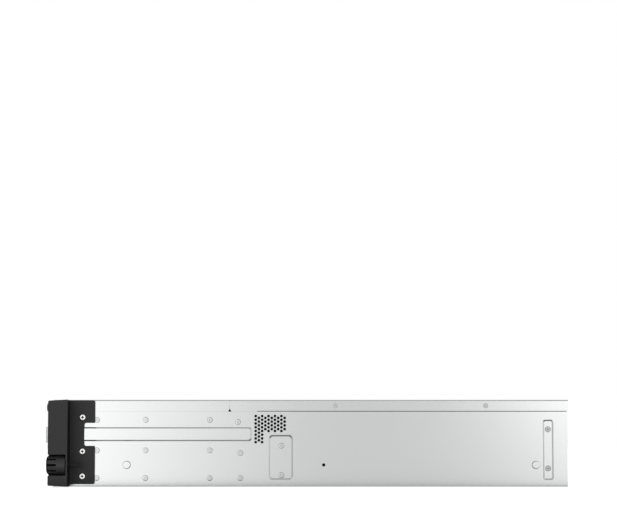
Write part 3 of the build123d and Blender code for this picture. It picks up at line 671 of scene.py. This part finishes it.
pressings = {          # each one's raised or sunk face, and how far its rim slopes
    "duct": {
        "face": 217.2, "along": (-1.0, 185.5), "up": (45.0, 61.5), "slope": 1.35,
        "endSlope": 1.6, "corner": 0.7, "openFront": True,
    },
    "middlePad": {
        "face": 214.8, "along": (200.0, 226.5), "up": (6.2, 53.5), "slope": 1.6,
        "endSlope": 1.5, "corner": 0.9, "openFront": False,
    },
    "rearPad": {
        "face": 214.8, "along": (477.5, 490.2), "up": (6.0, 69.0), "slope": 1.5,
        "endSlope": 1.5, "corner": 0.55, "openFront": False,
    },
}

tubEdges = {
    "punched": (           # along and up: the vents' long and short columns, and the rail hole
        ((186.0, 199.0), (37.0, 74.5)),
        ((199.0, 224.0), (53.5, 74.5)),
        ((254.0, 259.5), (19.5, 25.0)),
    ),
    "punchedFrom": 214.9 * mm,
    "punchedFacing": 0.3,
    "seam": 76.07,
    "shoulder": (74.4, 76.5),
    "shoulderFrom": 214.92 * mm,
    "shoulderSquash": 0.05,
    "wideSeamFrom": 189.1,
    "crease": 24,
}


rims = {
    "wall": 216.0,
    "rimReach": 0.1 * mm,
    "faceReach": 0.15 * mm,
    "cornerBend": 0.3,
    "segments": 4,
}


def between(value, limits):
    return limits[0] * mm < value < limits[1] * mm


def slopeRims(tub):
    for press in pressings.values():
        wall = (rims["wall"] + press["face"]) / 2

        def inPress(place):
            return between(place.y, press["along"]) and between(place.z, press["up"])

        def corners(middle, bend):
            onRim = abs(abs(middle.x) - wall * mm) < rims["rimReach"]
            return bend > rims["cornerBend"] and onRim and inPress(middle)

        pickEdges(corners)
        bpy.ops.mesh.bevel(offset=press["corner"] * mm, segments=rims["segments"], affect="EDGES")
        bpy.ops.mesh.select_mode(type="VERT")
        bpy.ops.mesh.select_all(action="DESELECT")
        shape = bmesh.from_edit_mesh(tub.data)
        picked = []
        for corner in shape.verts:
            place = corner.co
            inside = abs(abs(place.x) - press["face"] * mm) < rims["faceReach"] and inPress(place)
            corner.select_set(inside)
            if inside:
                picked.append(place.copy())
        bmesh.update_edit_mesh(tub.data)
        low = Vector((0, min(p.y for p in picked), min(p.z for p in picked)))
        high = Vector((0, max(p.y for p in picked), max(p.z for p in picked)))
        size, middle = high - low, (low + high) / 2
        ends = 2
        if press["openFront"]:
            middle.y, ends = low.y, 1
        shorter = 1 - ends * press["endSlope"] * mm / size.y
        lower = 1 - 2 * press["slope"] * mm / size.z
        bpy.ops.transform.resize(value=(1, shorter, lower), center_override=middle)


def dressTub():
    tub = mergedCopy("chassis_tub")
    wear(tub, "galvanisedSheet", "gasketFoam")

    def punched(middle, normal):
        areas = tubEdges["punched"]
        inArea = any(between(middle.y, along) and between(middle.z, up) for along, up in areas)
        inward = abs(normal.x) < tubEdges["punchedFacing"]
        return inArea and inward and abs(middle.x) > tubEdges["punchedFrom"]

    # the vent and rail hole walls painted near-black: painted shade inside the holes
    paintFaces(tub, 1, punched)
    bpy.ops.object.mode_set(mode="EDIT")
    slopeRims(tub)
    # the wall runs up square to the cover's edge

    def onShoulder(place):
        return abs(place.x) > tubEdges["shoulderFrom"] and between(place.z, tubEdges["shoulder"])

    pickCorners(onShoulder)
    squash = (1, 1, tubEdges["shoulderSquash"])
    bpy.ops.transform.resize(value=squash, center_override=(0, 0, tubEdges["seam"] * mm))
    bpy.ops.object.mode_set(mode="OBJECT")
    settle(tub, "caseTub", "chassis", None, ("chassis_tub",), tubEdges["crease"])


covers = {
    "edge": 0.05 * mm,
    "flangeFoot": (76.0, 76.4),
    "hang": 0.06 * mm,     # the flange closes on the wall, so its seam hardly shows
}


def onFlangeFoot(place):
    return between(place.z, covers["flangeFoot"]) and place.y < tubEdges["wideSeamFrom"] * mm


def dressCovers():
    for node, name in (("front_cover", "frontCover"), ("rear_lid", "rearLid")):
        cover = mergedCopy(node)
        bpy.ops.object.mode_set(mode="EDIT")
        pickCorners(onFlangeFoot)
        bpy.ops.transform.translate(value=(0, 0, -covers["hang"]))
        bpy.ops.object.mode_set(mode="OBJECT")
        soften(cover, covers["edge"])
        settle(cover, name, "chassis", "galvanisedSheet", (node,))


shadeBlocks = {     # dark blocks behind the gaps, painted shade where the gaps show black: low and high corner
    "seamGasket": ((214.93, 159.0, 75.7), (215.2, 163.8, 79.2), "gasketFoam"),
    "lidGasket": ((214.93, 189.4, 75.7), (215.5, 502.6, 77.4), "lidFoam"),
    "holeGasket": ((213.2, 253.0, 18.6), (214.6, 260.2, 25.8), "gasketFoam"),
}

shadeBlockEdge = 0.1 * mm

# a near-black box behind the vents, painted shade so that the vents show dark
ventScreen = {
    "low": (213.4, 186.3, 37.5),
    "high": (214.6, 223.5, 73.5),
    "hem": 0.9 * mm,
    "sink": 0.35 * mm,
}


def setShadeBlocks():
    for name, (low, high, finish) in shadeBlocks.items():
        block = bar(low, high)
        soften(block, shadeBlockEdge)
        settleBothSides(block, name, finish)
    shadeBox = bar(ventScreen["low"], ventScreen["high"])
    bpy.ops.object.mode_set(mode="EDIT")
    pickFaces(lambda middle, normal: abs(normal.x) > squareOn)
    hem, sink = ventScreen["hem"], ventScreen["sink"]
    bpy.ops.mesh.inset(thickness=hem, depth=-sink, use_individual=True)
    bpy.ops.object.mode_set(mode="OBJECT")
    settle(shadeBox, "ventScreen", "chassis", "gasketFoam")


rivet = {
    "radius": 2.85 * mm,
    "lip": 0.06 * mm,
    "groove": 0.34 * mm,
    "shoulder": 0.16 * mm,
    "crown": 0.42,         # the domed part, as a share of the radius
    "dimple": 0.22 * mm,
    "dimpleInset": 0.44 * mm,
    "dimpleShade": (0.42 * mm, 0.02 * mm),
    "rise": 0.035 * mm,
    "lifts": (0.0, -0.8, 0.9, 0.2, -0.9),    # of each step inward, as shares of the rise
    "shadeFacing": (0.3, 0.999),
    "sides": 40,
    "rows": (8.9, 36.9, 67.6),
    "columns": (27.0, 76.3, 141.3),
    "extras": ((169.8, 65.5), (172.3, 34.1), (172.3, 8.9)),
    "onPad": ((213.8, 41.5), (213.8, 11.9)),
    "wall": 216.0,
    "padFace": 214.8,
}


def makeRivet():
    radius, rise = rivet["radius"], rivet["rise"]
    head = disc(radius, rise * 2, rivet["sides"])
    wear(head, "rivetSteel", "jointShade")
    crown = radius * rivet["crown"]
    steps = (rivet["lip"], rivet["groove"], rivet["shoulder"], crown, rivet["dimple"])
    bpy.ops.object.mode_set(mode="EDIT")
    pickFaces(lambda middle, normal: normal.x > squareOn)
    for inward, lift in zip(steps, rivet["lifts"]):
        bpy.ops.mesh.inset(thickness=inward, depth=rise * lift)
    bpy.ops.object.mode_set(mode="OBJECT")
    groove = (radius - rivet["lip"] - rivet["groove"], radius - rivet["lip"])
    dimple = radius - crown - rivet["dimpleInset"]
    least, most = rivet["shadeFacing"]

    def shaded(middle, normal):
        out = math.hypot(middle.y, middle.z)
        inGroove = groove[0] < out < groove[1]
        inDimple = dimple - rivet["dimpleShade"][0] < out < dimple - rivet["dimpleShade"][1]
        return (inGroove or inDimple) and least < normal.x < most

    paintFaces(head, 1, shaded)
    return head


def setRivets():
    head = makeRivet()
    places = [(rivet["wall"], y, z) for z in rivet["rows"] for y in rivet["columns"]]
    places += [(rivet["wall"], y, z) for y, z in rivet["extras"]]
    places += [(rivet["padFace"], y, z) for y, z in rivet["onPad"]]
    near = joined([copyTo(head, (x * mm, y * mm, z * mm)) for x, y, z in places])
    settleBothSides(near, "wallRivets", None)
    discard(head)


panScrew = {
    "radius": 2.95 * mm,
    "height": 1.5 * mm,
    "dome": 0.7 * mm,
    "crossLong": 4.4 * mm,
    "crossWide": 1.45 * mm,
    "crossDeep": 1.1 * mm,
    "places": ((218.0, 12.6, 10.8), (218.0, 12.6, 35.9), (218.0, 12.6, 70.2)),
    "turn": 6,             # degrees
}

flushScrew = {
    "radius": 2.6 * mm,
    "height": 0.16 * mm,
    "dome": 0.05 * mm,
    "crossLong": 2.5 * mm,
    "crossWide": 0.45 * mm,
    "crossDeep": 0.12 * mm,
    "places": ((214.8, 483.7, 58.1), (214.8, 483.7, 18.7)),
    "turn": 20,
    "seat": 0.32 * mm,     # the shadow round the head: how far out, and how wide
    "seatWide": 0.5 * mm,
}


def crossBars(place, size, turns, axis):
    bars = []
    for turn in turns:
        deselectAll()
        bpy.ops.mesh.primitive_cube_add(size=1)
        cutter = bpy.context.object
        cutter.scale = (size["crossDeep"] * 2, size["crossLong"], size["crossWide"])
        bpy.ops.object.transform_apply(location=True, rotation=True, scale=True)
        bpy.ops.object.mode_set(mode="EDIT")
        pickFaces(lambda middle, normal: normal.x < -squareOn)
        bpy.ops.transform.resize(value=recessTaper)
        bpy.ops.object.mode_set(mode="OBJECT")
        rolled = Matrix.Rotation(math.radians(turn), 4, "X")
        cutter.data.transform(Matrix.Translation(place) @ axis @ rolled)
        wear(cutter, "jointShade")
        bars.append(cutter)
    return bars


def cutCross(piece, bars):
    for cutter in bars:
        addModifier(
            piece, "BOOLEAN", operation="DIFFERENCE", object=cutter,
            solver="EXACT", material_mode="TRANSFER",
        )
        discard(cutter)


def makeScrew(size, finish):
    height = size["height"]
    head = disc(size["radius"], height, screwSides, (height / 2, 0, 0))
    wear(head, finish)
    roundRim(lambda middle: middle.x > height * rimFrom, size["dome"], segments=4)
    cutCross(head, crossBars(Vector((height, 0, 0)), size, (0, 90), Matrix.Identity(4)))
    return head


def shadowRing(radius, wide, proud=0.03 * mm):
    ring = disc(radius, proud * 2, screwSides)
    bpy.ops.object.mode_set(mode="EDIT")
    pickFaces(lambda middle, normal: normal.x > squareOn)
    bpy.ops.mesh.inset(thickness=wide, depth=-proud * 0.5)
    bpy.ops.object.mode_set(mode="OBJECT")
    wear(ring, "jointShade")
    return ring


def rolledCopy(piece, place, degrees):
    turn = Matrix.Rotation(math.radians(degrees), 4, "X")
    return copyTo(piece, Vector(place) * mm, turn)


def setScrews():
    pan = makeScrew(panScrew, "zincScrew")
    near = joined([rolledCopy(pan, place, panScrew["turn"]) for place in panScrew["places"]])
    settleBothSides(near, "earScrews", None)
    discard(pan)
    head = makeScrew(flushScrew, "flatScrew")
    seat = shadowRing(flushScrew["radius"] + flushScrew["seat"], flushScrew["seatWide"])
    flat = joined([head, seat])
    copies = []
    for x, y, z in flushScrew["places"]:    # each stopped at its own turn
        copies.append(rolledCopy(flat, (x, y, z), flushScrew["turn"] + y + z))
    settleBothSides(joined(copies), "padScrews", None)
    discard(flat)


flangeDisc = {
    "radius": 2.7 * mm,
    "height": 0.05 * mm,
    "sides": 40,
    "rim": 0.16,           # shares of the radius and of the height
    "sink": 0.4,
    "places": ((216.0, 268.2, 82.0), (216.0, 420.8, 82.0)),
}


def setFlangeDiscs():
    radius, height = flangeDisc["radius"], flangeDisc["height"]
    head = disc(radius, height * 2, flangeDisc["sides"])
    bpy.ops.object.mode_set(mode="EDIT")
    pickFaces(lambda middle, normal: normal.x > squareOn)
    rim, sink = flangeDisc["rim"], flangeDisc["sink"]
    bpy.ops.mesh.inset(thickness=radius * rim, depth=-height * sink)
    bpy.ops.object.mode_set(mode="OBJECT")
    near = joined([copyTo(head, Vector(place) * mm) for place in flangeDisc["places"]])
    settleBothSides(near, "lidScrews", "flatScrew")
    discard(head)


studs = {
    "edge": 0.6 * mm,
    "radius": 3.8 * mm,
    "ring": 0.3 * mm,
    "under": 0.2 * mm,     # how far the ring reaches in under the stud
    "places": ((216.0, 57.2, 22.2), (216.0, 471.3, 22.2)),
}


def dressStuds():
    pins = mergedCopy("rail_studs")
    soften(pins, studs["edge"], segments=3)
    settle(pins, "railStuds", "chassis", "galvanisedSheet", ("rail_studs",))
    # a dark ring round each stud's foot: painted shadow
    ring = shadowRing(studs["radius"] + studs["ring"], studs["ring"] + studs["under"])
    near = joined([copyTo(ring, Vector(place) * mm) for place in studs["places"]])
    settleBothSides(near, "studSeats", None)
    discard(ring)


ears = {
    "edge": 0.35 * mm,
    "bracketEdge": 0.3 * mm,
    "knobEdge": 0.3 * mm,
    "plateEdge": 0.25 * mm,
}

powerCap = {
    "centre": (228.95, 80.0),
    "radius": 4.5 * mm,
    "front": -22.0 * mm,
    "back": -12.0 * mm,
    "dome": 1.9 * mm,
    "sides": 64,
    "rimReach": 0.2 * mm,
}


knobCross = {
    "centre": (232.55, -21.3, 22.2),
    "crossLong": 6.4 * mm,
    "crossWide": 1.3 * mm,
    "crossDeep": 1.6 * mm,
}


grip = {
    "radius": 9.75 * mm,
    "along": (-20.5, -3.0),
    "rim": (-21.2, -19.6),       # the slope round the knob's front
    "rimRadius": 7.0 * mm,
    "fluteFacing": 0.7,
    "rimFacing": 0.3,
    "shankFrom": -2.3 * mm,
}

shadedBack = {                   # the ears' rear faces, painted as dark as the photograph's shadow
    "from": 218.6 * mm,
    "facing": 0.6,
}


def inGrip(middle, normal):
    out = math.hypot(middle.x, middle.z)
    sideways = abs(normal.y) < grip["fluteFacing"]
    fluted = out < grip["radius"] and between(middle.y, grip["along"]) and sideways
    onSlope = between(middle.y, grip["rim"]) and normal.y < -grip["rimFacing"]
    rim = out > grip["rimRadius"] and onSlope
    return fluted or rim


def onShank(middle, normal):
    return middle.y > grip["shankFrom"]


def facesBack(middle, normal):
    return abs(middle.x) > shadedBack["from"] and normal.y > shadedBack["facing"]


def dressEars():
    for node, name in (("right_ear", "earRight"), ("left_ear", "earLeft")):
        ear = mergedCopy(node)
        wear(ear, "earPlastic", "gripShade")
        paintFaces(ear, 1, facesBack)
        soften(ear, ears["edge"], segments=3)
        settle(ear, name, "chassis", None, (node,))
    for node, name in (("right_bracket", "bracketRight"), ("left_bracket", "bracketLeft")):
        bracket = mergedCopy(node)
        wear(bracket, "bracketPaint", "gripShade")
        paintFaces(bracket, 1, facesBack)
        soften(bracket, ears["bracketEdge"])
        settle(bracket, name, "chassis", None, (node,))
    knobs = (("right_thumbscrew", "knobRight", 1), ("left_thumbscrew", "knobLeft", -1))
    for node, name, side in knobs:
        knob = mergedCopy(node)
        wear(knob, "knobPlastic", "blackScrew", "gripShade")
        soften(knob, ears["knobEdge"], limit=25)
        x, y, z = knobCross["centre"]
        axis = Vector((side * x, 0, z)) * mm
        paintFaces(knob, 1, onShank)
        paintFaces(knob, 2, lambda middle, normal: inGrip(middle - axis, normal))
        toFront = Matrix.Rotation(math.radians(-90), 4, "Z")
        cutCross(knob, crossBars(Vector((side * x, y, z)) * mm, knobCross, (0, 90), toFront))
        settle(knob, name, node, None, (node,))
    plate = mergedCopy("ear_plate")
    soften(plate, ears["plateEdge"])
    settle(plate, "earTrimPlate", "chassis", "trimPlate", ("ear_plate",))


def makePowerCap():
    x, z = powerCap["centre"]
    front, back = powerCap["front"], powerCap["back"]
    centre = (x * mm, (front + back) / 2, z * mm)
    cap = disc(powerCap["radius"], back - front, powerCap["sides"], centre, faceFront)
    edge = front + powerCap["rimReach"]
    roundRim(lambda middle: middle.y < edge, powerCap["dome"], segments=8)
    settle(cap, "powerCap", "power_button", "buttonPlastic", ("power_button",))


trays = {
    "count": 12,
    "edge": 0.28 * mm,
    "leverEdge": 0.4 * mm,
    "lampPlaces": ((5.6, 19.0), (9.0, 19.0)),    # across and up from the tray's corner
    "lampRadius": 0.85 * mm,
    "lampDeep": 0.8 * mm,
    "lampDome": 0.25 * mm,
    "lampSides": 20,
    "face": -19.0,
}

driveInTray = {     # from the tray's corner, except along the server
    "across": (1.9, 103.6),
    "along": (9.9, 157.1),
    "above": 1.05 * mm,
}


def cornerOf(node):
    low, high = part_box(node)
    return low


def dressTrays():
    tray = mergedCopy("tray_01")
    wear(tray, "trayPaint", "driveCasting")
    corner = cornerOf("tray_01")

    def onDrive(middle, normal):
        across = middle.x - corner.x
        inBox = between(across, driveInTray["across"]) and between(middle.y, driveInTray["along"])
        return inBox and middle.z - corner.z > driveInTray["above"]

    paintFaces(tray, 1, onDrive)
    soften(tray, trays["edge"])
    lever = mergedCopy("lever_01")
    soften(lever, trays["leverEdge"], segments=3)
    wear(lever, "leverPlastic")
    lamps = []
    face = trays["face"] * mm
    for x, z in trays["lampPlaces"]:
        centre = (corner.x + x * mm, face, corner.z + z * mm)
        lamp = disc(trays["lampRadius"], trays["lampDeep"], trays["lampSides"], centre, faceFront)
        roundRim(lambda middle: middle.y < face, trays["lampDome"], segments=3)
        lamps.append(lamp)
    lamp = joined(lamps)
    wear(lamp, "lampClear")
    for number in range(1, trays["count"] + 1):
        place = f"{number:02d}"
        node, handle = "tray_" + place, "lever_" + place
        move = cornerOf(node) - corner
        settle(copyTo(tray, move), "driveTray" + place, node, None, (node,))
        settle(copyTo(lever, move), "trayLever" + place, handle, None, (handle,))
        settle(copyTo(lamp, move), "trayLamps" + place, node, None)
    for piece in (tray, lever, lamp):
        discard(piece)


supplies = {
    "edge": 0.35 * mm,
    "handleFrom": 504.6 * mm,
    "sockets": (486.0, 504.1),    # where the inlet and the grille are hollow
    "socketReach": 15.6 * mm,
    "inletX": -194.55,
    "inletWide": 13.6,
    "grilleX": -158.55,
    "grilleWide": 4.2,
    "levels": (21.05, 63.25),
    "pins": ((-7.0, -2.2), (0.0, 2.6), (7.0, -2.2)),    # across and up from the inlet's middle
    "pinWide": 2.0,
    "pinTall": 4.0,
    "pinFrom": 486.6,
    "pinTo": 502.0,
    "pinTip": 0.6 * mm,
    "tipReach": 0.1,
}


def dressSupplies():
    for number, level in enumerate(supplies["levels"], 1):
        node = f"supply_{number}"
        case = mergedCopy(node)
        wear(case, "caseSheet", "handlePlastic", "socketBlack")
        soften(case, supplies["edge"])

        def beside(middle, x, wide):
            return abs(middle.x - x * mm) < wide * mm

        def inSocket(middle, normal):
            deep = between(middle.y, supplies["sockets"])
            tall = abs(middle.z - level * mm) < supplies["socketReach"]
            inlet = beside(middle, supplies["inletX"], supplies["inletWide"])
            grille = beside(middle, supplies["grilleX"], supplies["grilleWide"])
            return deep and tall and (inlet or grille)

        paintFaces(case, 1, lambda middle, normal: middle.y > supplies["handleFrom"])
        paintFaces(case, 2, inSocket)
        settle(case, f"powerSupply{number}", node, None, (node,))
        pins = []
        for across, up in supplies["pins"]:
            x, z = supplies["inletX"] + across, level + up
            halfWide, halfTall = supplies["pinWide"] / 2, supplies["pinTall"] / 2
            low = (x - halfWide, supplies["pinFrom"], z - halfTall)
            pin = bar(low, (x + halfWide, supplies["pinTo"], z + halfTall))
            tip = (supplies["pinTo"] - supplies["tipReach"]) * mm
            roundRim(lambda middle: middle.y > tip, supplies["pinTip"], segments=3)
            pins.append(pin)
        settle(joined(pins), f"inletPins{number}", node, "zincScrew")
        latch = mergedCopy(f"{node}_latch")
        soften(latch, supplies["edge"])
        name = f"supplyLatch{number}"
        settle(latch, name, f"{node}_latch", "latchGreen", (f"{node}_latch",))


ports = {
    "edge": 0.12 * mm,
    "floor": 8.6,
    "usb": (-112.0, -90.0),
    "network": (-70.0, -50.0),
    "tongueLow": (-5.4, 488.0, 12.6),       # across from the port's middle, along, up
    "tongueHigh": (5.4, 501.5, 14.4),
    "tongueEdge": 0.2 * mm,
    "contacts": 8,
    "contactPitch": 1.02,
    "contactLow": (-0.22, 487.0, 19.2),
    "contactHigh": (0.22, 499.0, 19.6),
    "contactDrop": 3.2 * mm,
    "socketAlong": 503.9 * mm,
    "socketTop": 21.6,
}


def barAcross(x, low, high):
    return bar((x + low[0], *low[1:]), (x + high[0], *high[1:]))


def inNetworkSocket(middle, normal):
    height = (ports["floor"] + 0.5, ports["socketTop"])
    return middle.y < ports["socketAlong"] and between(middle.z, height)


def dressPorts():
    shellNames = {
        "usb_ports": "usbShells", "network_ports": "networkShells", "fibre_ports": "fibreShells",
    }
    for node, name in shellNames.items():
        shells = mergedCopy(node)
        wear(shells, "portShell", "socketBlack")
        soften(shells, ports["edge"])
        if node == "network_ports":
            paintFaces(shells, 1, inNetworkSocket)
        settle(shells, name, "chassis", None, (node,))
    tongues = []
    for x in ports["usb"]:
        tongue = barAcross(x, ports["tongueLow"], ports["tongueHigh"])
        soften(tongue, ports["tongueEdge"])
        tongues.append(tongue)
    settle(joined(tongues), "usbTongues", "chassis", "socketBlack")
    contacts = []
    for x in ports["network"]:
        for number in range(ports["contacts"]):
            across = x + (number - (ports["contacts"] - 1) / 2) * ports["contactPitch"]
            wire = barAcross(across, ports["contactLow"], ports["contactHigh"])
            bpy.ops.object.mode_set(mode="EDIT")
            pickFaces(lambda middle, normal: normal.y < -squareOn)
            # each contact springs down inward
            bpy.ops.transform.translate(value=(0, 0, -ports["contactDrop"]))
            bpy.ops.object.mode_set(mode="OBJECT")
            contacts.append(wire)
    settle(joined(contacts), "networkContacts", "chassis", "goldContact")


panels = {
    "edge": 0.15 * mm,
    "face": 503.5,
    "screws": (
        (-132.5, 28.0), (-132.5, 80.5), (120.5, 80.5), (208.5, 80.5), (208.5, 10.0),
    ),
}

panelScrew = {
    "radius": 2.4 * mm,
    "height": 0.7 * mm,
    "dome": 0.35 * mm,
    "crossLong": 2.8 * mm,
    "crossWide": 0.7 * mm,
    "crossDeep": 0.45 * mm,
}


def dressRear():
    for node, name in (("rear_panel", "rearPanel"), ("port_plate", "portPlate")):
        panel = mergedCopy(node)
        soften(panel, panels["edge"])
        settle(panel, name, "chassis", "galvanisedSheet", (node,))
    screw = makeScrew(panelScrew, "zincScrew")
    toRear = Matrix.Rotation(math.radians(90), 4, "Z")
    copies = []
    for x, z in panels["screws"]:
        copies.append(copyTo(screw, Vector((x, panels["face"], z)) * mm, toRear))
    settle(joined(copies), "panelScrews", "chassis", None)
    discard(screw)


carried = {
    "drive_cage": "innerSheet",
    "status_lamps": "lampClear",
    "backplane": "boardGreen",
    "fan_wall": "innerSheet",
    "fan_frames": "fanPlastic",
    "main_board": "boardGreen",
    "heatsink": "finMetal",
    "memory_modules": "moduleGreen",
    "slot_covers": "innerSheet",
    "supply_cage": "innerSheet",
    "power_board": "boardGreen",
    "board_posts": "zincScrew",
    "impeller_1": "fanPlastic",
    "impeller_2": "fanPlastic",
    "impeller_3": "fanPlastic",
}


def dressCarried():
    for node, finish in carried.items():
        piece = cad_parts[node]
        if piece.data.materials:
            for place in range(len(piece.data.materials)):
                piece.data.materials[place] = looks[finish]
        else:
            piece.data.materials.append(looks[finish])


setCamera()
setWorld()
setFloor()
setLamps()
setCards()
for name, look in metals.items():
    metalFinish(name, look)
for name, look in solids.items():
    solidFinish(name, look)
print("camera, light and finishes ready")
dressCarried()
dressTub()
dressCovers()
setShadeBlocks()
setRivets()
setScrews()
setFlangeDiscs()
dressStuds()
print("case dressed")
dressEars()
makePowerCap()
print("ears dressed")
dressTrays()
print("trays dressed")
dressSupplies()
dressPorts()
dressRear()
print("rear dressed")

bpy.context.scene.view_settings.view_transform = "Standard"
